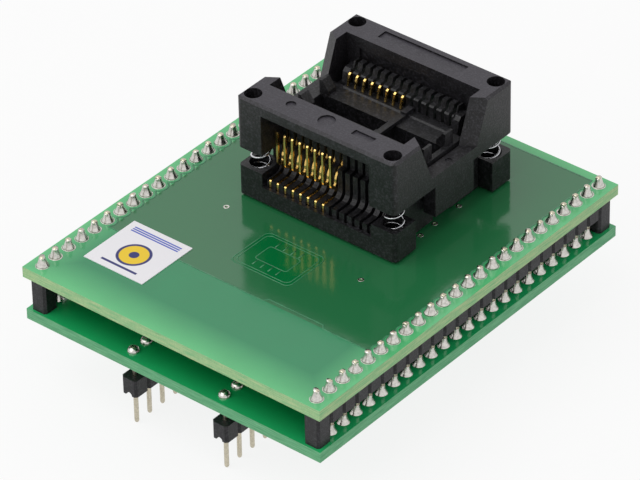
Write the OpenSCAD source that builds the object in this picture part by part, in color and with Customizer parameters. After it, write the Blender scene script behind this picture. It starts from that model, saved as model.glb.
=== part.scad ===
// Open-top test socket for a gull-wing chip, on a two-board adapter that ends in a dual-in-line plug.
// Origin: centre of the plug's pin pattern, in the plane that the plug's insulators seat on.
// +X runs across the boards, +Y along the pin rows away from the plug, +Z up. Millimetres.

/* [Boards] */
// Width of the upper board, across the pin rows
board_w = 49.5; // [48.5:0.1:60]
// Length of the upper board, along the pin rows
board_l = 62.0; // [61.5:0.5:76]
// Thickness of each board
board_t = 1.6; // [1:0.1:2.4]
// How much smaller the lower board is, in width and length
lower_trim = 0.3; // [0:0.1:0.6]
// Distance between the two long pin rows
row_gap = 45.72; // [43.18:2.54:45.72]
// Distance from the front edge of the boards to the first pin of a row
first_pin = 1.79; // [1.5:0.01:2.2]

/* [Spacer headers] */
// Pins in each long row
row_pins = 24; // [20:1:24]
// Width of a header's insulator
strip_w = 2.5; // [2.2:0.05:2.54]
// Height of one insulator; two of them set the gap between the boards
strip_h = 2.54; // [2.2:0.02:3.06]
// Width of the square link pins
pin_w = 0.64; // [0.5:0.01:0.78]
// How far a link pin stands above the upper board
pin_proud = 1.45; // [1.2:0.05:1.8]
// Clearance between a link pin's corners and its plated hole, over both sides
hole_gap = 0.115; // [0.08:0.005:0.2]
// Height of a solder cone
solder_h = 1.3; // [0.9:0.05:1.5]
// Diameter of a solder cone on its pad
solder_d = 1.7; // [1.4:0.05:1.9]

/* [Plug] */
// Distance between the plug's two rows
dil_gap = 15.24; // [7.62:2.54:22.86]
// Pins in each row of the plug
dil_pins = 8; // [4:1:10]
// Height of the plug's insulators
dil_strip_h = 2.6; // [2.3:0.05:3]
// Height of the lower board above the plug's insulators
dil_lift = 2.2; // [1.5:0.1:3]
// Diameter of the plug's pins
dil_pin_d = 0.64; // [0.45:0.01:0.78]
// Length of a plug pin below its insulator
dil_pin_len = 5.1; // [3:0.1:6]

/* [Label] */
// Side of the square paper label
label_w = 10; // [8:0.5:11]
// Thickness of the label
label_t = 0.12; // [0.08:0.01:0.2]

/* [Socket] */
// Distance from the front edge of the boards to the middle of the socket
socket_in = 41.95; // [36:0.05:43]
// Width of the socket
socket_w = 26.3; // [26:0.1:28]
// Depth of the socket, along the pin rows
socket_l = 24.8; // [24.4:0.1:29.8]
// Height of the cover's top above the board when it is not pressed
socket_h = 15.8; // [15.2:0.1:19]
// How far the cover travels when it is pressed
travel = 2.7; // [1.5:0.1:2.7]
// Running clearance between the cover and the base
slide_gap = 0.25; // [0.15:0.05:0.3]

/* [Contacts] */
// Contact pitch
pitch = 1.27; // [1.05:0.01:1.3]
// Slots for contacts on each side
slots = 14; // [10:1:14]
// Slots that hold a contact, counted from the left
contacts = 8; // [4:1:10]
// Thickness of a contact blade
blade_t = 0.3; // [0.2:0.02:0.36]
// Width of a slot
slot_w = 0.5; // [0.46:0.02:0.6]

/* [Springs] */
// Outer diameter of a cover spring
spring_d = 2.8; // [2.2:0.05:2.85]
// Wire diameter of a cover spring
spring_wire = 0.27; // [0.2:0.01:0.3]
// Turns of a cover spring
spring_turns = 7.25; // [5.25:0.5:8.25]

/* [Hidden] */

eps = 0.01;
pin_pitch = 2.54;

// heights of the layers
board_gap = 2 * strip_h;
lower_z = dil_strip_h + dil_lift;
lower_top = lower_z + board_t;
upper_z = lower_top + board_gap;
deck = upper_z + board_t;

// places along the boards, from the middle of the plug's pattern
dil_run = (dil_pins - 1) * pin_pitch;
row_y0 = -dil_run / 2;
board_y0 = row_y0 - first_pin;
socket_y = board_y0 + socket_in;
row_run = (row_pins - 1) * pin_pitch;
side_names = [-1, 1];

// header details
notch = 0.34;
strip_hole = pin_w + 0.04;
hole_d = pin_w * sqrt(2) + hole_gap;
groove_r = 0.5;
link_tail = 0.5;
pad_lift = 0.75;
tip_len = 0.35;
plug_neck_r = dil_pin_d / 2 - 0.02; // pins step in above the plane the insulators seat on

// socket: plan sizes, all measured from its middle
half_w = socket_w / 2;
half_l = socket_l / 2;
bridge_in = half_l - 4.45;
rail_in = half_w - 2.0;
window_half = 9.0;
hole_x = half_w - 1.575;
hole_y = half_l - 1.675;
tool_hole_r = 1.215;
tool_hole_depth = 3.0;
core_x = rail_in - slide_gap;
boss_in = 9.1;
boss_y = half_l - 4.35;
boss_out_x = half_w - 0.05;
boss_out_y = half_l - 0.1;
comb_x = window_half - slide_gap;

// socket: heights above the board
base_lift = 0.4;
boss_top = 4.9;
pier_low = boss_top + travel + 0.2;
skirt_low = base_lift + travel;
skirt_half = 4.0;
rail_top = 9.5;
lintel_low = socket_h - 1.7;
nest_z = 10.0;
shelf_z = 10.2;
deck_top = 4.0;
ledge_top = 2.8;
slot_floor = 3.55;

// socket cover
hook_half = 1.6;
hook_top = skirt_low + 0.6;
hook_reach = 0.4;
corner_r = 0.8;
top_chamfer = 0.35;
wing_top = 5.75;
wing_yaw = 34;
wing_lean = 17.4;
cam_in = bridge_in + 0.4;
cam_low = 11.0;
sunk = 0.25; // depth of the sunk panels and marks in the bridges' tops

// spring seats
spring_x = half_w - 2.0;
spring_y = half_l - 2.35;
well_r = spring_d / 2 + 0.15;
well_floor = 1.0;
pocket_top = 10.9;
spring_sides = 6;
spring_steps = 14;

// contact geometry in the plane of a blade: [distance from the socket's middle, height above the board]
pivot = [bridge_in - 0.05, 7.3];
pivot_r = 0.3;
pivot_gap = 0.06;
bar_top = 3.95;
bar_t = 0.35;
tail_w = 0.3;
tail_out = boss_out_y - 0.6;
tail_end = 1.0;
tail_solder_r = (pitch - 0.17) / 2;

// where the parts of the chip sit
chip_end = 0.09;
stop_w = 0.9;

function slot_x(i) = (i - (slots - 1) / 2) * pitch;
function row_y(i) = row_y0 + i * pin_pitch;
function arc(c, r, a0, a1, n) = [for (i = [0:n]) c + r * [cos(a0 + (a1 - a0) * i / n), sin(a0 + (a1 - a0) * i / n)]];
stop_x = slot_x(contacts - 1) + 0.71 + chip_end;

// ---------- boards ----------

module board_blank(w, l) {
    translate([-w / 2, board_y0, 0]) cube([w, l, board_t]);
}

// plated holes of both long rows
module row_holes() {
    for (s = side_names, i = [0:row_pins - 1])
        translate([s * row_gap / 2, row_y(i), -1]) cylinder(d = hole_d, h = board_t + 2, $fn = 24);
}

// small plated holes: [across, from the boards' front edge]
vias = [[-12.61, 26.4], [11.44, 24.65], [11.36, 37.0], [11.22, 40.2], [11.24, 45.25]];
via_d = 0.4;
tail_hole_d = 0.75;

module upper_board() color([0.30, 0.58, 0.42]) translate([0, 0, upper_z]) difference() {
    board_blank(board_w, board_l);
    row_holes();
    for (s = side_names, i = [0:contacts - 1])
        translate([slot_x(i), socket_y + s * (tail_out - tail_w / 2), -1])
            cylinder(d = tail_hole_d, h = board_t + 2, $fn = 24);
    for (v = vias)
        translate([v[0], board_y0 + v[1], -1]) cylinder(d = via_d, h = board_t + 2, $fn = 16);
}

module lower_board() color([0.05, 0.50, 0.28]) translate([0, 0, lower_z]) difference() {
    translate([0, lower_trim / 2, 0]) board_blank(board_w - lower_trim, board_l - lower_trim);
    row_holes();
    for (s = side_names, i = [0:dil_pins - 1])
        translate([s * dil_gap / 2, row_y(i), -1]) cylinder(d = hole_d, h = board_t + 2, $fn = 24);
}

// ---------- headers between the boards ----------

// breakaway strip seen from above: n modules with notched corners
module strip_outline(n) {
    half = strip_w / 2;
    step = pin_pitch / 2;
    side = [for (i = [0:n - 1], p = [[half - notch, -step], [half, notch - step],
        [half, step - notch], [half - notch, step]]) [p[0], p[1] + i * pin_pitch]];
    polygon(concat(side, [for (i = [len(side) - 1:-1:0]) [-side[i][0], side[i][1]]]));
}

module strip(n, h, hole) {
    difference() {
        linear_extrude(h) strip_outline(n);
        for (i = [0:n - 1]) translate([-hole / 2, i * pin_pitch - hole / 2, -1]) cube([hole, hole, h + 2]);
    }
}

module spacer_strip(s) {
    translate([s * row_gap / 2, row_y0, upper_z - strip_h]) strip(row_pins, strip_h, strip_hole);
}

module left_spacer_strip() color([0.13, 0.13, 0.14]) spacer_strip(-1);
module right_spacer_strip() color([0.13, 0.13, 0.14]) spacer_strip(1);

// loose single modules that carry the strips' ends
module end_spacer_blocks() color([0.12, 0.12, 0.13])
    for (s = side_names, i = [0, row_pins - 1])
        translate([s * row_gap / 2, row_y(i), lower_top]) strip(1, strip_h, strip_hole);

module link_pin() {
    low = lower_z - link_tail;
    top = deck + pin_proud;
    half = pin_w / 2;
    intersection() {
        translate([-half, -half, low]) cube([pin_w, pin_w, top - low]);
        translate([0, 0, low]) rotate_extrude($fn = 24) polygon([
            [0, 0], [half * 0.9, 0], [pin_w, tip_len], [pin_w, top - low - tip_len],
            [half * 0.6, top - low], [0, top - low]]);
    }
}

module link_pins(s) {
    for (i = [0:row_pins - 1]) translate([s * row_gap / 2, row_y(i), 0]) link_pin();
}

module left_link_pins() color([0.80, 0.79, 0.74]) link_pins(-1);
module right_link_pins() color([0.80, 0.79, 0.74]) link_pins(1);

// solder drawn up a square pin: a concave cone with the pin's own hole
module solder_cone() {
    neck = pin_w * 0.74;
    difference() {
        rotate_extrude($fn = 24) polygon(concat([[0, 0]],
            [for (i = [0:5]) let (t = i / 5) [neck + (solder_d / 2 - neck) * pow(1 - t, 2.2), solder_h * t]],
            [[0, solder_h]]));
        translate([-pin_w / 2, -pin_w / 2, -1]) cube([pin_w, pin_w, solder_h + 2]);
    }
}

module upper_link_solder() color([0.78, 0.77, 0.74])
    for (s = side_names, i = [0:row_pins - 1])
        translate([s * row_gap / 2, row_y(i), deck]) solder_cone();

// on top of the lower board, but under it where an end block stands
module lower_link_solder() color([0.74, 0.73, 0.70])
    for (s = side_names, i = [0:row_pins - 1])
        if (i == 0 || i == row_pins - 1)
            translate([s * row_gap / 2, row_y(i), lower_z]) mirror([0, 0, 1]) solder_ring();
        else translate([s * row_gap / 2, row_y(i), lower_top]) solder_cone();

// low fillet round a cropped link pin
module solder_ring() {
    h = link_tail * 0.9;
    difference() {
        cylinder(r1 = solder_d / 2, r2 = pin_w * 0.8, h = h, $fn = 24);
        translate([-pin_w / 2, -pin_w / 2, -1]) cube([pin_w, pin_w, h + 2]);
    }
}

// ---------- dual-in-line plug ----------

module plug_strip(s) {
    difference() {
        translate([s * dil_gap / 2, row_y0, 0]) difference() {
            linear_extrude(dil_strip_h) strip_outline(dil_pins);
            for (i = [0:dil_pins - 1])
                translate([0, i * pin_pitch, -1]) cylinder(d = dil_pin_d + 0.04, h = dil_strip_h + 2, $fn = 24);
        }
        translate([s * dil_gap / 2, row_y0 - pin_pitch, 0]) rotate([-90, 0, 0])
            cylinder(r = groove_r, h = dil_run + 2 * pin_pitch, $fn = 24);
    }
}

module left_plug_strip() color([0.12, 0.12, 0.13]) plug_strip(-1);
module right_plug_strip() color([0.12, 0.12, 0.13]) plug_strip(1);

module plug_pins(s) {
    r = dil_pin_d / 2;
    top = lower_top + pad_lift;
    for (i = [0:dil_pins - 1]) translate([s * dil_gap / 2, row_y(i), 0]) rotate_extrude($fn = 24)
        polygon(concat([for (k = [0:4]) [r * sin(k * 22.5), -dil_pin_len + r * 1.4 * (1 - cos(k * 22.5))]],
            [[r, 0], [plug_neck_r, 0], [plug_neck_r, top], [0, top]]));
}

module left_plug_pins() color([0.84, 0.82, 0.76]) plug_pins(-1);
module right_plug_pins() color([0.84, 0.82, 0.76]) plug_pins(1);

// rounded solder bumps over the plug's pins
module plug_solder() color([0.78, 0.77, 0.74])
    for (s = side_names, i = [0:dil_pins - 1])
        translate([s * dil_gap / 2, row_y(i), lower_top]) rotate_extrude($fn = 24) difference() {
            polygon(concat([[0, 0]], [for (k = [0:5]) [solder_d / 2 * cos(k * 15), pad_lift * 1.02 * sin(k * 15)]],
                [[plug_neck_r, pad_lift], [0, pad_lift]]));
            square([plug_neck_r, pad_lift * 3]);
        }

module label_sticker() color([0.95, 0.95, 0.94])
    translate([-label_w / 2 - 14.95, board_y0 + 6.5, deck]) cube([label_w, label_w, label_t]);

// ---------- socket base ----------

// cross-section of one half of the base, through a rib between two slots: [from the middle, height]
rib_profile = concat(
    [[0, base_lift], [boss_out_y, base_lift], [boss_out_y, ledge_top], [boss_out_y - 0.55, ledge_top],
        [boss_out_y - 0.55, deck_top]],
    arc([bridge_in + 2.05, deck_top + 1.1], 1.1, 270, 180, 4),
    [[bridge_in + 0.95, 8.1], [bridge_in - 0.1, 8.1], [bridge_in - 0.1, 12.5], [bridge_in - 0.5, 13.0], [6.5, 13.0],
        [6.2, 12.1], [5.5, 12.1], [5.3, 11.9], [5.3, shelf_z], [4.2, shelf_z], [4.0, nest_z], [0, nest_z]]);

// a profile of one half, mirrored to both halves and run across the socket between two X values
module run_x(x0, x1) {
    for (s = side_names) translate([x0, 0, 0]) mirror([0, s > 0 ? 0 : 1, 0]) rotate([90, 0, 90])
        linear_extrude(x1 - x0) children();
}

module contact_slot(x) {
    for (s = side_names) mirror([0, s > 0 ? 0 : 1, 0]) {
        translate([x - slot_w / 2, 5.6, slot_floor]) cube([slot_w, boss_out_y, 12]);
        translate([x - slot_w / 2, 5.2, shelf_z + eps]) cube([slot_w, 1, 4]);
        translate([x - slot_w / 2, tail_out - tail_w - 0.1, -1]) cube([slot_w, tail_w + 0.2, 6]);
    }
}

// ledge at each end of the nest that guides the chip down, with a sloped face
module end_guide() {
    polygon([[0, 0], [1.5, 0], [1.5, 2.0], [1.1, 2.0], [0, 0.6]]);
}

module base_body() {
    run_x(-comb_x, comb_x) polygon(rib_profile);
    // core between the cover's rails
    run_x(-core_x, core_x) polygon([[0, base_lift], [bridge_in - 0.1, base_lift], [bridge_in - 0.1, 8.6],
        [bridge_in - 0.6, 9.2], [5.3, 9.2], [4.6, nest_z], [0, nest_z]]);
    // end walls of the comb
    for (sx = side_names) mirror([sx > 0 ? 0 : 1, 0, 0]) run_x(comb_x - 0.2, boss_in + 0.6)
        polygon([[4.6, 8], [bridge_in - 0.1, 8], [bridge_in - 0.1, 11.6], [bridge_in - 0.6, 12.1], [5.8, 12.1],
            [5.3, 11.6]]);
    // decks run out under the piers to the corner bosses
    run_x(-boss_in - 1, boss_in + 1) polygon([[bridge_in - 1, base_lift], [boss_out_y, base_lift],
        [boss_out_y, ledge_top], [bridge_in - 1, ledge_top]]);
    for (sx = side_names, sy = side_names) mirror([sx > 0 ? 0 : 1, 0, 0]) mirror([0, sy > 0 ? 0 : 1, 0]) {
        corner_boss();
        translate([boss_in - 0.1, 3.0, nest_z - eps]) rotate([90, 0, 0]) linear_extrude(1.6) end_guide();
    }
}

module corner_boss() {
    r = 0.6;
    translate([boss_in, boss_y, base_lift]) linear_extrude(boss_top - base_lift) {
        square([boss_out_x - boss_in, boss_out_y - boss_y - r]);
        square([boss_out_x - boss_in - r, boss_out_y - boss_y]);
        translate([boss_out_x - boss_in - r, boss_out_y - boss_y - r]) circle(r = r, $fn = 32);
    }
}

module socket_base() color([0.20, 0.19, 0.21]) translate([0, socket_y, deck]) {
    difference() {
        base_body();
        for (i = [0:slots - 1]) contact_slot(slot_x(i));
        // long window through the nest floor
        translate([-core_x + 0.8, -1.3, nest_z - 6]) cube([2 * core_x - 1.6, 2.6, 7]);
        // spring wells
        for (sx = side_names, sy = side_names)
            translate([sx * spring_x, sy * spring_y, well_floor]) cylinder(r = well_r, h = 10, $fn = 40);
        // grooves for the cover's hooks
        for (sx = side_names) mirror([sx > 0 ? 0 : 1, 0, 0])
            translate([core_x - 0.55, -hook_half - 0.15, -1]) cube([2, 2 * hook_half + 0.3, hook_top + 1.1]);
    }
    // feet that stand on the board
    for (sx = side_names, sy = side_names)
        translate([sx * (core_x - 1.2), sy * (bridge_in - 1.2), 0]) cylinder(r = 0.9, h = base_lift + eps, $fn = 24);
}

// cross-bar that stops a short chip from sliding along the nest
module chip_stop() color([0.30, 0.30, 0.32]) translate([stop_x, socket_y, deck + nest_z]) {
    for (s = side_names) mirror([0, s > 0 ? 0 : 1, 0]) {
        translate([0, 0, 0.02]) cube([stop_w, 3.95, 0.5]);
        translate([0, 3.5, 0.22]) cube([stop_w, 1.7, 0.6]);
        translate([-0.35, 1.2, 0.02]) cube([0.5, 1.0, 0.3]);
    }
}

// ---------- contacts ----------

// fixed part of a contact: solder tail, bar along the deck and neck up to the pivot
frame_profile = concat(
    [[tail_out - tail_w, -board_t - tail_end], [tail_out, -board_t - tail_end], [tail_out, bar_top - 0.12],
        [tail_out - 0.12, bar_top], [pivot[0] + 0.55, bar_top], [pivot[0] + 0.2, bar_top + 0.4]],
    arc(pivot, pivot_r, -50, 230, 10),
    [[pivot[0] - 0.2, bar_top - bar_t], [tail_out - tail_w, bar_top - bar_t]]);

// moving part, as a band round the pivot; its lever and neck are measured from the pivot, its head from the nest
function from_pivot(points) = [for (p = points) [pivot[0] + p[0], p[1]]];
lever_foot = [pivot[0] + 1.55, 6.0];
arm_profile = concat(
    from_pivot([[2.25, 10.45], [2.08, 10.62], [1.94, 10.5], [1.9, 6.0]]),
    arc(lever_foot, 0.35, 0, -180, 5),
    from_pivot([[1.18, 6.5], [1.05, 6.95], [0.82, 7.35], [0.52, 7.66]]),
    arc(pivot, 0.72, 32, 100, 4),
    from_pivot([[-0.4, 8.6], [-0.48, 9.3], [-0.62, 10.1], [-0.9, 10.8], [-1.3, 11.25]]),
    [[6.0, 11.6], [5.5, 11.95], [5.1, 12.05], [4.8, 11.85], [4.62, 11.3], [4.45, 10.6], [4.42, 10.32],
        [4.58, 10.28], [4.72, 10.5], [4.88, 11.0], [5.1, 11.4], [5.4, 11.38], [5.9, 11.05]],
    from_pivot([[-1.55, 10.7], [-1.25, 10.3], [-1.0, 9.7], [-0.9, 9.0], [-0.8, 8.4], [-0.62, 7.9]]),
    arc(pivot, pivot_r + pivot_gap, 165, 15, 8),
    from_pivot([[0.65, 7.1], [0.78, 6.8], [0.88, 6.3]]),
    arc(lever_foot, 0.7, 180, 360, 8));

module frame_outline() {
    polygon(frame_profile);
    translate(pivot) circle(r = pivot_r, $fn = 32);
}

module arm_outline() difference() {
    polygon(arm_profile);
    translate(pivot) circle(r = pivot_r + pivot_gap, $fn = 32);
}

module blades(s) {
    for (i = [0:contacts - 1]) translate([slot_x(i) - blade_t / 2, socket_y, deck])
        mirror([0, s > 0 ? 0 : 1, 0]) rotate([90, 0, 90]) linear_extrude(blade_t) children();
}

module front_contact_frames() color([0.83, 0.68, 0.35]) blades(-1) frame_outline();
module rear_contact_frames() color([0.83, 0.68, 0.35]) blades(1) frame_outline();
module front_contact_arms() color([0.88, 0.72, 0.36]) blades(-1) arm_outline();
module rear_contact_arms() color([0.88, 0.72, 0.36]) blades(1) arm_outline();

// fillets round the contact tails under the upper board
module tail_solder() color([0.78, 0.77, 0.74])
    for (s = side_names, i = [0:contacts - 1])
        translate([slot_x(i), socket_y + s * (tail_out - tail_w / 2), upper_z]) mirror([0, 0, 1]) difference() {
            cylinder(r1 = tail_solder_r, r2 = 0.3, h = tail_end * 0.8, $fn = 20);
            translate([-blade_t / 2, -tail_w / 2, -1]) cube([blade_t, tail_w, 3]);
        }

// ---------- socket cover ----------

module plan_outline() {
    square([socket_w - 2 * corner_r, socket_l], center = true);
    square([socket_w, socket_l - 2 * corner_r], center = true);
    for (sx = side_names, sy = side_names)
        translate([sx * (half_w - corner_r), sy * (half_l - corner_r)]) circle(r = corner_r, $fn = 32);
}

// block with chamfered top and bottom outer edges, cut from three directions
module cover_block() {
    c = top_chamfer;
    h = socket_h;
    intersection() {
        translate([0, 0, skirt_low]) linear_extrude(h - skirt_low) plan_outline();
        translate([0, half_l + 1, 0]) rotate([90, 0, 0]) linear_extrude(socket_l + 2) polygon([
            [-half_w, 0], [half_w, 0], [half_w, h - c], [half_w - c, h], [c - half_w, h], [-half_w, h - c]]);
        translate([-half_w - 1, 0, 0]) rotate([90, 0, 90]) linear_extrude(socket_w + 2) polygon([
            [-half_l, 0], [half_l, 0], [half_l, h - c], [half_l - c, h], [c - half_l, h], [-half_l, h - c]]);
    }
}

// space taken off the inner end of each wing, a leaning plane turned in plan
module wing_cut() {
    translate([rail_in, wing_top, socket_h]) rotate([-wing_lean, 0, wing_yaw]) translate([-6, -20, -12])
        cube([20, 20, 20]);
}

module cover_cam() {
    run_x(-window_half - 0.1, window_half + 0.1) polygon([[cam_in, lintel_low + 0.2],
        [cam_in, cam_low], [cam_in + 0.65, cam_low], [cam_in + 2.55, 13.6], [cam_in + 2.55, lintel_low + 0.2]]);
}

module socket_cover() color([0.24, 0.23, 0.26]) translate([0, socket_y, deck]) {
    difference() {
        union() {
            difference() {
                cover_block();
                // everything below the piers except the skirts
                for (s = side_names) mirror([0, s > 0 ? 0 : 1, 0])
                    translate([-half_w - 1, skirt_half, 0]) cube([socket_w + 2, half_l, pier_low]);
                // open middle
                translate([-rail_in, -bridge_in, 0]) cube([2 * rail_in, 2 * bridge_in, 30]);
                // above the rails, between the wings
                for (sx = side_names, sy = side_names) mirror([sx > 0 ? 0 : 1, 0, 0]) mirror([0, sy > 0 ? 0 : 1, 0])
                    intersection() {
                        wing_cut();
                        translate([rail_in - 1, -eps, rail_top]) cube([5, bridge_in, 12]);
                    }
                // windows under the lintels
                translate([-window_half, -half_l - 1, 0]) cube([2 * window_half, socket_l + 2, lintel_low]);
            }
            cover_cam();
            for (sx = side_names) mirror([sx > 0 ? 0 : 1, 0, 0])
                translate([rail_in - hook_reach, -hook_half, skirt_low]) cube([1, 2 * hook_half, hook_top - skirt_low]);
        }
        // holes for the press tool
        for (sx = side_names, sy = side_names) {
            translate([sx * hole_x, sy * hole_y, socket_h - tool_hole_depth])
                cylinder(r = tool_hole_r, h = tool_hole_depth + 1, $fn = 48);
            translate([sx * spring_x, sy * spring_y, 0]) cylinder(r = well_r, h = pocket_top, $fn = 40);
        }
        // shallow sunk panels in the tops of the bridges
        translate([-7.2, half_l - 2.85, socket_h - sunk]) cube([13.9, 1.7, 1]);
        translate([4.2, 1.5 - half_l + 0.75, socket_h - sunk]) cube([3.4, 1.1, 1]);
        translate([-6.1, -half_l + 2.75, socket_h - sunk]) cylinder(r = 0.7, h = 1, $fn = 32);
        translate([-0.1, -half_l + 2.7, socket_h - sunk]) cylinder(r = 1.2, h = 1, $fn = 32);
        // round sink marks on the rails
        for (sx = side_names) translate([sx * (rail_in + 1.0), 0, rail_top - 0.2]) cylinder(r = 0.5, h = 1, $fn = 24);
    }
}

// ---------- springs ----------

// closed helical tube: rings of points round the wire, carried up the coil
module coil(height) {
    n = round(spring_turns * spring_steps);
    mean = (spring_d - spring_wire) / 2;
    low = spring_wire / 2 + 0.03;
    rise = height - spring_wire - 0.06;
    pts = [for (i = [0:n], k = [0:spring_sides - 1]) let (a = 360 * spring_turns * i / n, b = 360 * k / spring_sides)
        [(mean + spring_wire / 2 * cos(b)) * cos(a), (mean + spring_wire / 2 * cos(b)) * sin(a),
            low + rise * i / n + spring_wire / 2 * sin(b)]];
    skin = [for (i = [0:n - 1], k = [0:spring_sides - 1]) let (k2 = (k + 1) % spring_sides)
        [i * spring_sides + k, i * spring_sides + k2, (i + 1) * spring_sides + k2, (i + 1) * spring_sides + k]];
    ends = [[for (k = [spring_sides - 1:-1:0]) k], [for (k = [0:spring_sides - 1]) n * spring_sides + k]];
    polyhedron(pts, concat(skin, ends));
}

module cover_spring(sx, sy) color([0.78, 0.78, 0.80])
    translate([sx * spring_x, socket_y + sy * spring_y, deck + well_floor]) coil(pocket_top - well_floor);

module front_left_spring() cover_spring(-1, -1);
module front_right_spring() cover_spring(1, -1);
module rear_left_spring() cover_spring(-1, 1);
module rear_right_spring() cover_spring(1, 1);

upper_board();
lower_board();
left_spacer_strip();
right_spacer_strip();
end_spacer_blocks();
left_link_pins();
right_link_pins();
upper_link_solder();
lower_link_solder();
left_plug_strip();
right_plug_strip();
left_plug_pins();
right_plug_pins();
plug_solder();
label_sticker();
socket_base();
chip_stop();
front_contact_frames();
rear_contact_frames();
tail_solder();
front_contact_arms();
rear_contact_arms();
socket_cover();
front_left_spring();
front_right_spring();
rear_left_spring();
rear_right_spring();
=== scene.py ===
"""Looks of a two-board adapter that carries an open-top test socket and ends in a dual-in-line plug.

Metres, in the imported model's frame: the origin is the middle of the plug's pin pattern, +X runs
across the boards, +Y along the pin rows and +Z up. The file follows the adapter from the boards
up to the socket's cover, with one section for each piece or group of like pieces.
"""

import bmesh
import bpy
import numpy as np
from mathutils import Matrix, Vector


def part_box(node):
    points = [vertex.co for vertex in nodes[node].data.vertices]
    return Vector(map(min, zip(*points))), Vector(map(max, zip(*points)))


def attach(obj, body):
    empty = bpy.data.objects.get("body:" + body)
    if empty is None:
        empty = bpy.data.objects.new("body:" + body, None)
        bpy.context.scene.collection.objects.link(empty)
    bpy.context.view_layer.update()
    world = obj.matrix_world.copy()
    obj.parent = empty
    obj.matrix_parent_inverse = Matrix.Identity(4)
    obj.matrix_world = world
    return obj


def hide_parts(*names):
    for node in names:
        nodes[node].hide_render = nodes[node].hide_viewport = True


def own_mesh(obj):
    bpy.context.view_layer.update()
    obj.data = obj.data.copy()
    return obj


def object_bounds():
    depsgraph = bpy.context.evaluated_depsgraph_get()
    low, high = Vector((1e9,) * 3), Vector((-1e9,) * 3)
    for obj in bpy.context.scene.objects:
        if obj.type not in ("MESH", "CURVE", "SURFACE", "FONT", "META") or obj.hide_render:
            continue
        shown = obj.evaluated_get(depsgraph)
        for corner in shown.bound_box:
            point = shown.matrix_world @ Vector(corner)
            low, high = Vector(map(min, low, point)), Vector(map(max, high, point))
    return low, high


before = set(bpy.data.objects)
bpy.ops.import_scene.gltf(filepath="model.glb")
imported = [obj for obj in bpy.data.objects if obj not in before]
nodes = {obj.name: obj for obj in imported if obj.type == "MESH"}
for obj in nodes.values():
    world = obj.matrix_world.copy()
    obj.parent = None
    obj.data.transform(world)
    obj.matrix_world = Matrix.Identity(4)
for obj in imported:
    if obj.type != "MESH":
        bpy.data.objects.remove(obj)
cad_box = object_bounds()
scene = bpy.context.scene
scene.view_settings.view_transform = "Standard"
MM = 0.001

# ---------- camera ----------
# A long lens, about six tenths of a metre away, looks down over the front right corner.
EYE = (0.33180, -0.37540, 0.38111)
AZIMUTH, ELEVATION, ROLL = np.radians((40.03, 35.65, -1.20))
camera = bpy.data.objects.new("camera", bpy.data.cameras.new("camera"))
camera.data.lens = 274.1
scene.collection.objects.link(camera)
camera.matrix_world = (
    Matrix.Translation(EYE) @ Matrix.Rotation(AZIMUTH, 4, "Z")
    @ Matrix.Rotation(np.pi / 2 - ELEVATION, 4, "X") @ Matrix.Rotation(ROLL, 4, "Z")
)
scene.camera = camera


# ---------- room ----------
# Even white studio: a bright world, one wide soft lamp over the left shoulder, and a pale floor
# that the plug's pins stand on.
class Wire:
    """A shader socket that is worked with as a number is; each operator adds one Math node."""

    def __init__(self, tree, socket):
        self.tree, self.socket = tree, socket

    def math(self, operation, *terms):
        return self.tree.add("Math", {"operation": operation}, *terms)

    def __add__(self, other):
        return self.math("ADD", self, other)

    def __sub__(self, other):
        return self.math("SUBTRACT", self, other)

    def __rsub__(self, other):
        return self.math("SUBTRACT", other, self)

    def __mul__(self, other):
        return self.math("MULTIPLY", self, other)

    def __truediv__(self, other):
        return self.math("DIVIDE", self, other)

    def __abs__(self):
        return self.math("ABSOLUTE", self)

    def larger(self, other):
        return self.math("MAXIMUM", self, other)

    def smaller(self, other):
        return self.math("MINIMUM", self, other)

    def step(self, low, high):
        """0 below low and 1 above high, with an even slope between; low may be the larger."""
        return self.tree.add("MapRange", {"clamp": True}, self, low, high, 0.0, 1.0)

    __radd__, __rmul__ = __add__, __mul__


class Recipe:
    """Builds the nodes of one material, or of the world."""

    def __init__(self, owner):
        owner.use_nodes = True
        self.owner, self.nodes, self.links = owner, owner.node_tree.nodes, owner.node_tree.links
        self.nodes.clear()

    def add(self, kind, settings=None, *values, output=0, **named):
        """One node of any kind: settings are made first, then values or links fill its sockets,
        by place or by name, with _ for a space."""
        node = self.nodes.new("ShaderNode" + kind)
        for name, value in (settings or {}).items():
            setattr(node, name, value)
        sockets = [s for s in node.inputs if s.enabled]
        pairs = list(zip(sockets, values))
        pairs += [(next(s for s in sockets if s.name == name.replace("_", " ")), value)
                  for name, value in named.items()]
        for socket, value in pairs:
            if isinstance(value, Wire):
                self.links.new(value.socket, socket)
            elif socket.type == "RGBA" and not np.isscalar(value):
                socket.default_value = (*value[:3], 1.0)
            else:
                socket.default_value = value
        return Wire(self, [s for s in node.outputs if s.enabled][output]) if node.outputs else None

    def mix(self, share, first, second):
        """Colour between first and second, by share."""
        return self.add("Mix", {"data_type": "RGBA"}, share, first, second)


def ink(red, green, blue):
    """Screen colour from 0 to 255, as the light that it stands for."""
    c = np.array((red, green, blue)) / 255
    return tuple(np.where(c <= 0.04045, c / 12.92, ((c + 0.055) / 1.055) ** 2.4))


WORLD_LEVEL = 0.62
LAMP_WATTS = 3.4
LAMP_SIZE = 0.9
FLOOR_GLOW = 0.86
FLOOR_SIZE = 3.0

scene.world = bpy.data.worlds.new("studio")
room = Recipe(scene.world)
seen = room.add("LightPath", None, output=0)
mirrored = room.add("LightPath", None, output=3)
through = room.add("LightPath", None, output=6)
level = WORLD_LEVEL + (1 - WORLD_LEVEL) * seen.larger(mirrored).larger(through)
room.add("OutputWorld", None, room.add("Background", None, (1.0, 1.0, 1.0), level))

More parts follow.
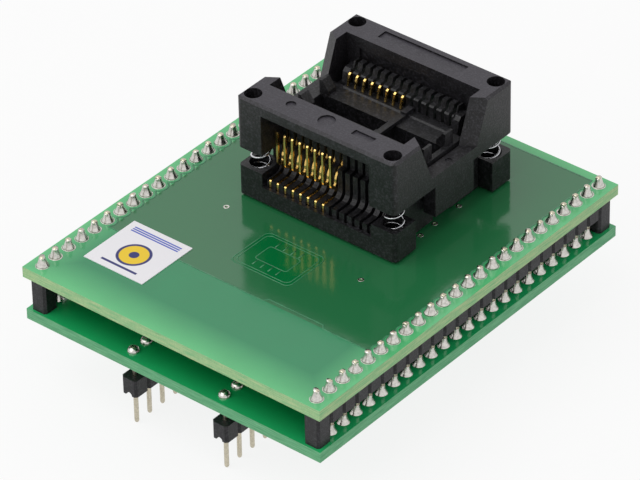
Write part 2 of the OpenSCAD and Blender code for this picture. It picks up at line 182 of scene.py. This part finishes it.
lamp = bpy.data.objects.new("lamp", bpy.data.lights.new("lamp", "AREA"))
lamp.data.energy, lamp.data.size = LAMP_WATTS, LAMP_SIZE
scene.collection.objects.link(lamp)
lamp.matrix_world = (Matrix.Rotation(np.radians(-25), 4, "Z") @ Matrix.Rotation(np.radians(32), 4, "X")
                     @ Matrix.Translation((0, 0, 0.9)))

half, low = FLOOR_SIZE / 2, cad_box[0][2]
floor_mesh = bpy.data.meshes.new("floor")
floor_mesh.from_pydata([(-half, -half, low), (half, -half, low), (half, half, low), (-half, half, low)],
                       [], [(0, 1, 2, 3)])
floor = bpy.data.objects.new("floor", floor_mesh)
scene.collection.objects.link(floor)
card = Recipe(bpy.data.materials.new("pale_card"))
seen = card.add("LightPath", None, output=0).larger(card.add("LightPath", None, output=3)).larger(
    card.add("LightPath", None, output=6))
card.add("OutputMaterial", None, card.add(
    "MixShader", None, seen * FLOOR_GLOW,
    card.add("BsdfDiffuse", None, (0.9, 0.9, 0.9)),
    card.add("Emission", None, (1.0, 1.0, 1.0), 1.0)))
floor_mesh.materials.append(card.owner)


# ---------- boards ----------
# Glass-fibre boards with a green solder mask on both faces. The mask lies over a copper pour that
# stops short of the edges; the edges are bare, sawn laminate.
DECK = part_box("upper_board")[1].z


class Finish(Recipe):
    """A material of one Principled shader, with the places and patterns that finishes share."""

    def __init__(self, name):
        super().__init__(bpy.data.materials.new(name))
        self.place = self.add("TexCoord", None, output=3)
        self.facing = self.add("TexCoord", None, output=1)
        self.x, self.y, self.z = self.split(self.place)

    def split(self, vector):
        """The three parts of a vector."""
        node = self.add("SeparateXYZ", None, vector)
        return [Wire(self, s) for s in node.socket.node.outputs]

    def grain(self, size, detail=2.0, rough=0.5, stretch=(1, 1, 1)):
        """Cloudy noise from 0 to 1 whose patches are about size metres across."""
        place = self.place
        if stretch != (1, 1, 1):
            place = self.add("VectorMath", {"operation": "MULTIPLY"}, place, stretch)
        return self.add("TexNoise", None, Vector=place, Scale=1 / size, Detail=detail, Roughness=rough)

    def root(self, value):
        """Square root of a value."""
        return self.add("Math", {"operation": "SQRT"}, value)

    def band(self, value, middle, half):
        """1 within half of the middle and 0 outside, with a thin soft border."""
        return abs(value - middle).step(half + 0.004, half - 0.004)

    def bump(self, height, depth):
        """Normal of a surface raised by height times depth, in metres."""
        return self.add("Bump", None, Strength=1.0, Distance=depth, Height=height)

    def close(self, **sockets):
        """Fills the shader and the output, and gives the material."""
        shader = self.add("BsdfPrincipled", None, **sockets)
        self.add("OutputMaterial", None, shader)
        return self.owner


def dress(material, *names):
    """Puts the material on CAD nodes."""
    for name in names:
        for place in nodes[name].material_slots:
            place.material = material


PIN_PITCH, ROW_X, ROW_PINS, FIRST_PIN_Y = 2.54 * MM, 22.86 * MM, 24, -8.89 * MM
POUR_X, POUR_Y = (-21.6 * MM, 21.6 * MM), (2.85 * MM, 49.95 * MM)
FIGURE_MID, FIGURE_HALF = (0.2 * MM, 10.9 * MM), (4.9 * MM, 3.9 * MM)


def laminate(name, box, copper, bare, rim, sawn, pour=True):
    """Solder mask on the two faces, sawn glass-fibre on the edges. copper, bare and rim are the
    colours over the pour, off the pour, and along the board's edges, where light comes through;
    sawn holds the two colours of the cut edge."""
    low, high = box
    f = Finish(name)
    flat = abs(f.split(f.facing)[2]).step(0.5, 0.6)
    # distance from the board's nearest edge, in metres
    inset = (high.x - abs(f.x)).smaller((f.y - low.y).smaller(high.y - f.y))
    cloud = f.grain(6 * MM, 3)
    over = (f.x - POUR_X[0]).smaller(POUR_X[1] - f.x).smaller((f.y - POUR_Y[0]).smaller(POUR_Y[1] - f.y))
    over = over.step(-0.05 * MM, 0.05 * MM)
    mask = f.mix(over, bare, copper)
    if pour:
        away = (abs(f.x - FIGURE_MID[0]) - FIGURE_HALF[0]).larger(abs(f.y - FIGURE_MID[1]) - FIGURE_HALF[1])
        mask = f.mix(away.step(0.05 * MM, -0.05 * MM), mask, ink(4, 112, 56))
    mask = f.mix(inset.step(5.5 * MM, 0.1 * MM) * (1 - over) * 0.85, mask, rim)
    mask = f.mix((cloud.step(0.3, 0.7)) * 0.12, mask, ink(30, 110, 70))
    # sawn edge: pale resin with layers of glass cloth
    layers = f.grain(0.16 * MM, 3, 0.6, (0.06, 0.06, 1))
    saw = f.grain(0.08 * MM, 2, 0.5, (1, 1, 0.15))
    edge = f.mix(layers.step(0.35, 0.65), *sawn)
    edge = f.mix(saw.step(0.4, 0.8) * 0.35, edge, ink(90, 150, 96))
    weave = f.grain(0.45 * MM, 2, 0.5)
    ripple = f.grain(1.6 * MM, 1, 0.4)
    normal = f.bump(ripple * 0.7 + weave * 0.3, 13e-6)
    return f.close(
        IOR=1.62,
        Base_Color=f.mix(flat, edge, mask),
        Roughness=0.62 - flat * 0.50,
        Normal=normal,
    )


dress(laminate("upper_mask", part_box("upper_board"), ink(40, 113, 68), ink(18, 138, 86), ink(100, 206, 132),
               (ink(122, 186, 128), ink(186, 208, 152))), "upper_board")
dress(laminate("lower_mask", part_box("lower_board"), ink(0, 146, 76), ink(0, 150, 78), ink(40, 182, 108),
               (ink(66, 150, 102), ink(112, 184, 134)), False), "lower_board")


# ---------- copper under the mask ----------
# The pour's rim and the etched mark stand up through the solder mask as thin rounded beads. The
# mark is a plain chip outline with a few traces.
def skin(name, sheets, body, material):
    """One smooth mesh from grids of points. Each sheet is (points, wrap_u, wrap_v): four neighbours
    make a face, a wrapped side joins its last row to its first, and an open end of a tube that
    wraps the other way is closed by one face."""
    points, faces, start = [], [], 0
    for grid, wrap_u, wrap_v in sheets:
        n, m = grid.shape[:2]
        i, j = np.arange(n if wrap_u else n - 1)[:, None], np.arange(m if wrap_v else m - 1)[None, :]
        i2, j2 = (i + 1) % n, (j + 1) % m
        quads = np.stack((i * m + j, i2 * m + j, i2 * m + j2, i * m + j2), -1).reshape(-1, 4) + start
        faces += quads.tolist()
        if wrap_v and not wrap_u:
            faces += [(start + np.arange(m)[::-1]).tolist(), (start + (n - 1) * m + np.arange(m)).tolist()]
        points.append(grid.reshape(-1, 3))
        start += n * m
    mesh = bpy.data.meshes.new(name)
    mesh.from_pydata(np.concatenate(points).tolist(), [], faces)
    work = bmesh.new()
    work.from_mesh(mesh)
    bmesh.ops.recalc_face_normals(work, faces=work.faces)
    work.to_mesh(mesh)
    work.free()
    mesh.shade_smooth()
    mesh.materials.append(material)
    piece = bpy.data.objects.new(name, mesh)
    scene.collection.objects.link(piece)
    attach(piece, body)
    return piece


def bead(path, half, height, closed=True):
    """Bead along a path on the deck: at each point the half ellipse (half cos t, height sin t),
    flattened below, stands square to the path."""
    path = np.asarray(path, float)
    way = np.roll(path, -1, 0) - np.roll(path, 1, 0)
    if not closed:
        way[0], way[-1] = path[1] - path[0], path[-1] - path[-2]
    way /= np.linalg.norm(way, axis=1)[:, None]
    t = np.arange(8) * np.pi / 4
    across = np.stack((-way[:, 1], way[:, 0]), -1)[:, None, :] * np.cos(t)[None, :, None] * half
    up = np.broadcast_to(DECK + height * np.maximum(np.sin(t), -0.2), (len(path), len(t)))
    return np.concatenate((path[:, None, :] + across, up[..., None]), -1), closed, True


def line(corners, step=0.4 * MM):
    """Points along straight lines through the corners, no further than step apart."""
    corners = np.asarray(corners, float)
    legs = [a + (b - a) * np.linspace(0, 1, max(2, int(np.linalg.norm(b - a) / step)), endpoint=False)[:, None]
            for a, b in zip(corners[:-1], corners[1:])]
    return np.concatenate(legs + [corners[-1:]])


def rounded(x0, y0, x1, y1, radius):
    """Points round a rectangle whose corners are quarter circles of that radius."""
    turn = np.radians(np.arange(0, 91, 15))
    legs = [np.stack((cx + radius * np.cos(turn + a), cy + radius * np.sin(turn + a)), -1)
            for cx, cy, a in ((x1 - radius, y1 - radius, 0), (x0 + radius, y1 - radius, np.pi / 2),
                              (x0 + radius, y0 + radius, np.pi), (x1 - radius, y0 + radius, np.pi * 1.5))]
    return np.concatenate(legs)


# half width and height of the beads, and the pour's front edge with its step, as x and y
RIM_BEAD, MARK_BEAD = (0.13 * MM, 0.04 * MM), (0.09 * MM, 0.035 * MM)
FRONT_EDGE = np.array(((-21.3, 2.85), (4.4, 2.85), (4.9, 3.5), (13.8, 3.5), (14.3, 2.85),
                       (21.3, 2.85))) * MM
CLEAR_R = 1.35 * MM
rise = np.arange(POUR_Y[0], POUR_Y[1], 0.1 * MM)
near = (rise - FIRST_PIN_Y + PIN_PITCH / 2) % PIN_PITCH - PIN_PITCH / 2
scallop = ROW_X - np.sqrt(CLEAR_R ** 2 - near ** 2)
right, left = np.stack((scallop, rise), -1), np.stack((-scallop, rise), -1)[::-1]
rim_path = np.concatenate((line(FRONT_EDGE), right, left))

mid_x, mid_y = FIGURE_MID
half_x, half_y = FIGURE_HALF
CHIP_HALF, TRACE_IN, TRACE_OUT, TRACE_PITCH = (2.6 * MM, 1.6 * MM), 1.75 * MM, 2.9 * MM, 1.3 * MM


def mark_frame(half_x, half_y, radius):
    """Bead round a rectangle of those half sizes about the middle of the mark."""
    path = rounded(mid_x - half_x, mid_y - half_y, mid_x + half_x, mid_y + half_y, radius)
    return bead(path, *MARK_BEAD)


shape = [mark_frame(half_x - inset, half_y - inset, 0.9 * MM) for inset in (0, 0.45 * MM)]
shape.append(mark_frame(*CHIP_HALF, 0.4 * MM))
for k in range(4):
    x = mid_x + (k - 1.5) * TRACE_PITCH
    for side in (-1, 1):
        trace = line(((x, mid_y + side * TRACE_IN), (x, mid_y + side * TRACE_OUT)))
        shape.append(bead(trace, *MARK_BEAD, False))
f = Finish("mask_bead")
cloud = f.grain(0.8 * MM, 2).step(0.3, 0.7) * 0.5
bead_mask = f.close(Base_Color=f.mix(cloud, ink(60, 140, 96), ink(28, 92, 58)),
                    Roughness=0.16 + f.grain(0.2 * MM) * 0.08)
skin("pour_rim", [bead(rim_path, *RIM_BEAD)], "boards", bead_mask)
skin("etched_mark", shape, "boards", bead_mask)


# ---------- spacer headers ----------
# Breakaway strips of black nylon between the boards, and the plug's two strips underneath.
def nylon(name, colour, sheen, top_light=None, above=0.0):
    """Moulded black plastic: grit from the mould in two sizes, clouded by glass fibre at the skin,
    and, when a second colour is given, painted paler on upward faces higher than above: a painted
    highlight for light falling from above."""
    f = Finish(name)
    fine, coarse, wide = f.grain(0.09 * MM, 2), f.grain(0.28 * MM, 3), f.grain(1.3 * MM, 3)
    skin_colour = colour
    if top_light:
        # painted highlight: upward faces above that height take the paler colour, as if lit from above
        upward = f.split(f.facing)[2].step(0.6, 0.95) * f.z.step(above, above + 0.5 * MM)
        skin_colour = f.mix(upward, colour, top_light)
    paler = f.mix(0.5, skin_colour, ink(104, 102, 110))
    speck = coarse.step(0.48, 0.70) * 0.42 + wide.step(0.45, 0.8) * 0.15
    return f.close(
        Specular_IOR_Level=0.36,
        Base_Color=f.mix(speck, skin_colour, paler),
        Roughness=sheen + (fine - 0.5) * 0.2,
        Normal=f.bump(fine * 0.5 + coarse * 0.9 + wide * 0.4, 30e-6),
    )


dress(nylon("header_nylon", ink(22, 21, 24), 0.46), "left_spacer_strip", "right_spacer_strip",
      "end_spacer_blocks", "left_plug_strip", "right_plug_strip")


# ---------- pins and solder ----------
# Square tinned pins join the boards, with a drawn-up cone of solder on each pad; round pins make
# the plug. Flat tinned rings stand for the pads and for the small plated holes.
def tinned(name, colour, sheen, size=0.3 * MM, dull=0.35):
    """Bright metal with a clouded, slightly uneven skin."""
    f = Finish(name)
    cloud, streak = f.grain(size, 3), f.grain(size * 0.5, 2, 0.5, (1, 1, 0.25))
    dark = tuple(0.45 * c for c in colour)
    return f.close(
        Base_Color=f.mix(cloud.step(0.35, 0.75) * dull, colour, dark),
        Metallic=1.0,
        Roughness=sheen + (streak - 0.5) * 0.25,
        Normal=f.bump(cloud + streak * 0.5, 12e-6),
    )


dress(tinned("pin_tin", ink(206, 198, 178), 0.28, 0.3 * MM, 0.5), "left_link_pins", "right_link_pins",
      "left_plug_pins", "right_plug_pins")
solder_metal = tinned("solder", ink(216, 213, 207), 0.22, 0.35 * MM, 0.6)
dress(solder_metal, "lower_link_solder", "plug_solder", "tail_solder")

CONE_RINGS, CONE_SIDES, CONE_NECK_R, CONE_POWER = 9, 20, 0.40 * MM, 1.7
chance = np.random.default_rng(7)


def drawn_cone(x, y):
    """Hollow-sided cone of solder: its radius falls from the pad to the pin as the 1.7th power of
    what is left of the height, and swells and shrinks a little round the pin, differently on each pad."""
    t, a = np.linspace(0, 1, CONE_RINGS)[:, None], np.arange(CONE_SIDES) * 2 * np.pi / CONE_SIDES
    size, tall = chance.uniform(0.84, 0.96) * MM, chance.uniform(1.15, 1.42) * MM
    lean, turn, tilt = chance.uniform(0, 0.12), chance.uniform(0, 2 * np.pi, 2), chance.uniform(0, 0.12)
    wave = 1 + lean * np.cos(a - turn[0]) + 0.05 * np.cos(2 * a - turn[1])
    reach = CONE_NECK_R + (size - CONE_NECK_R) * (1 - t) ** CONE_POWER * wave
    up = DECK + tall * t * (1 + tilt * np.cos(a - turn[1]))
    return np.stack((x + reach * np.cos(a), y + reach * np.sin(a), up), -1), False, True


PAD_RING, VIA_RING = (0.55 * MM, 0.95 * MM), (0.2 * MM, 0.42 * MM)
RING_STEPS, RING_RISE = 24, np.array((-0.2, 0.6, 1, 1, 0.6, -0.2))


def ring(x, y, inner, outer, height=0.03 * MM):
    """Flat ring on the deck: a low box with bevelled upper corners is turned round the hole."""
    a = np.arange(RING_STEPS)[:, None] * 2 * np.pi / RING_STEPS
    reach = np.array((inner, inner, inner + height, outer - height, outer, outer))
    up = DECK + RING_RISE * height
    return np.stack((x + reach * np.cos(a), y + reach * np.sin(a), up + 0 * a), -1), True, True


pads = [(side * ROW_X, FIRST_PIN_Y + i * PIN_PITCH) for side in (-1, 1) for i in range(ROW_PINS)]
cones = skin("drawn_solder", [drawn_cone(*pad) for pad in pads], "boards", solder_metal)
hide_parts("upper_link_solder")
skin("pad_rings", [ring(*pad, *PAD_RING) for pad in pads], "boards", solder_metal)
VIAS = np.array(((-12.61, 15.72), (11.44, 13.97), (11.36, 26.32), (11.22, 29.52), (11.24, 34.57))) * MM
skin("via_rings", [ring(*via, *VIA_RING) for via in VIAS], "boards", solder_metal)


# ---------- label ----------
# Small square of coated paper stuck to the upper board, printed with a plain mark in blue and
# yellow.
PRINT_NAVY, PRINT_YELLOW = ink(34, 38, 110), ink(244, 206, 40)


def printed_paper():
    """White paper: three thin blue rules, a yellow disc with a dark rim and middle, and a dark bar."""
    low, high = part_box("label_sticker")
    f = Finish("label_paper")
    u, v = (f.x - low.x) / (high.x - low.x), (f.y - low.y) / (high.y - low.y)
    fibre = f.grain(0.12 * MM, 3)
    paper = f.mix(fibre * 0.06, ink(244, 242, 246), ink(200, 200, 205))
    far = f.root((u - 0.5) * (u - 0.5) + (v - 0.42) * (v - 0.42))
    rules = f.band(v, 0.90, 0.012).larger(f.band(v, 0.86, 0.012)).larger(f.band(v, 0.82, 0.012))
    rules = rules * f.band(u, 0.5, 0.4)
    bar = f.band(v, 0.12, 0.02) * f.band(u, 0.5, 0.3)
    paper = f.mix(rules, paper, ink(70, 90, 190))
    for radius, colour in ((0.24, PRINT_NAVY), (0.20, PRINT_YELLOW), (0.07, PRINT_NAVY)):
        paper = f.mix(far.step(radius + 0.005, radius - 0.005), paper, colour)
    paper = f.mix(bar, paper, PRINT_NAVY)
    return f.close(Base_Color=paper, Roughness=0.45, Normal=f.bump(fibre, 2e-6))


dress(printed_paper(), "label_sticker")


# ---------- socket base ----------
# Black glass-filled plastic, moulded in one piece: comb, nest, decks and spring wells. The stop
# across the nest is a piece of its own in a greyer plastic.
dress(nylon("socket_plastic", ink(12, 12, 13), 0.42), "socket_base")
dress(nylon("stop_plastic", ink(24, 24, 26), 0.44), "chip_stop")


# ---------- contacts ----------
# Blades stamped from copper alloy, plated with gold over nickel. A fixed part is soldered into the
# board, and a moving part has the hooked head that grips a lead.
dress(tinned("contact_gold", ink(242, 204, 122), 0.22, 0.4 * MM, 0.3), "front_contact_frames",
      "rear_contact_frames", "front_contact_arms", "rear_contact_arms")


# ---------- socket cover ----------
# The sprung cover, in the same plastic. Its tops are painted paler and slightly bluer, a painted
# highlight for light falling from above.
# height from which the cover's tops get their painted highlight
TOP_LIGHT_ABOVE = DECK + 15 * MM
dress(nylon("cover_plastic", ink(19, 18, 20), 0.43, ink(52, 49, 56), TOP_LIGHT_ABOVE), "socket_cover")


# ---------- springs ----------
# Four fine compression springs of bright steel wire, closer wound at both ends. They stand in the
# base's wells, each as long as the imported spring that it replaces.
SPRING_TURNS, COIL_STEPS, WIRE_SIDES, WIRE_R = 7.25, 28, 8, 0.135 * MM
COVER_TRAVEL, END_CLIMB = 2.7 * MM, 0.25


def spring(low, high):
    """Round wire wound up a cylinder: the middle line turns evenly, and climbs a quarter as fast in
    its first and last turn as between them; a circle is carried along it in the axis's plane."""
    turn = np.linspace(0, SPRING_TURNS, int(SPRING_TURNS * COIL_STEPS))
    climb = np.cumsum(np.where((turn < 1) | (turn > SPRING_TURNS - 1), END_CLIMB, 1.0))
    climb = (climb - climb[0]) / (climb[-1] - climb[0])
    reach, tall = (high.x - low.x) / 2 - WIRE_R, high.z - low.z - 2 * WIRE_R
    angle, t = 2 * np.pi * turn[:, None], np.arange(WIRE_SIDES) * 2 * np.pi / WIRE_SIDES
    out = reach + WIRE_R * np.cos(t)
    up = low.z + WIRE_R + tall * climb[:, None] + WIRE_R * np.sin(t)
    x, y = (low.x + high.x) / 2, (low.y + high.y) / 2
    return np.stack((x + out * np.cos(angle), y + out * np.sin(angle), up), -1), False, True


wire = tinned("spring_steel", ink(206, 206, 210), 0.16)
for place in ("front_left_spring", "front_right_spring", "rear_left_spring", "rear_right_spring"):
    low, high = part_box(place)
    coil = skin(place + "_wire", [spring(low, high)], "boards", wire)
    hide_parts(place)
    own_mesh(coil)
